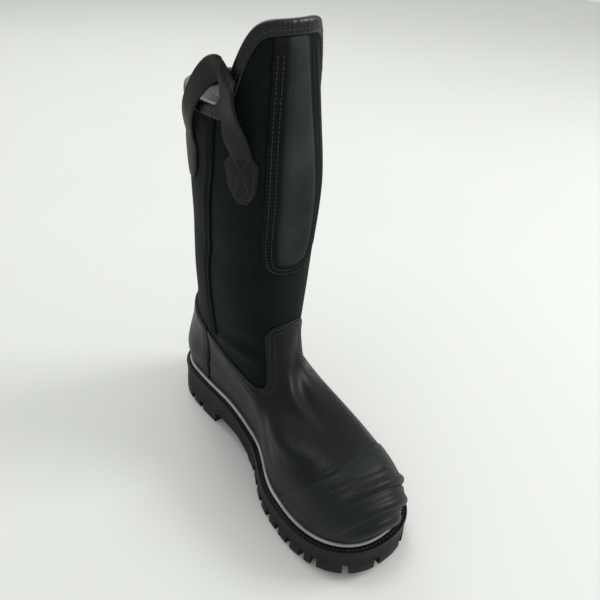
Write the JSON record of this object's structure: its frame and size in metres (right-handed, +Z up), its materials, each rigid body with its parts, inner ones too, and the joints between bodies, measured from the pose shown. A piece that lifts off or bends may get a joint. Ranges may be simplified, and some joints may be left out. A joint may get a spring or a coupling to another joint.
{
  "type": "firefighter boot",
  "caption": "Tall pull-on protective boot with a lasted upper, ribbed toe cap, shin guard, folded collar binding, side pull loops and a welted lug sole.",
  "frame": {"origin": "centre of the boot's box at floor level", "axes": "+Z up along the shaft, toe along -Y, outer side of the left foot along +X"},
  "size_m": [0.1232, 0.3216, 0.4222],
  "materials": {
    "sole_rubber": "matt moulded rubber",
    "welt_rubber": "satin",
    "piping_grey": "satin silver grey",
    "insole_felt": "felt",
    "shaft_fabric": "matt woven",
    "black_leather": "smooth black, soft sheen",
    "cap_rubber": "satin",
    "guard_leather": "matt",
    "binding_gloss": "glossy",
    "strap_leather": "smooth, warm black"
  },
  "bodies": {
    "root": {"outsole": "sole_rubber", "welt": "welt_rubber", "piping": "piping_grey", "insole": "insole_felt", "upper": "shaft_fabric", "vamp": "black_leather", "toe_cap": "cap_rubber", "heel_counter": "black_leather", "shin_guard": "guard_leather", "side_strip_medial": "black_leather", "side_strip_lateral": "black_leather", "collar_binding": "binding_gloss", "pull_loop_medial": "strap_leather", "pull_loop_lateral": "strap_leather"}
  },
  "joints": []
}
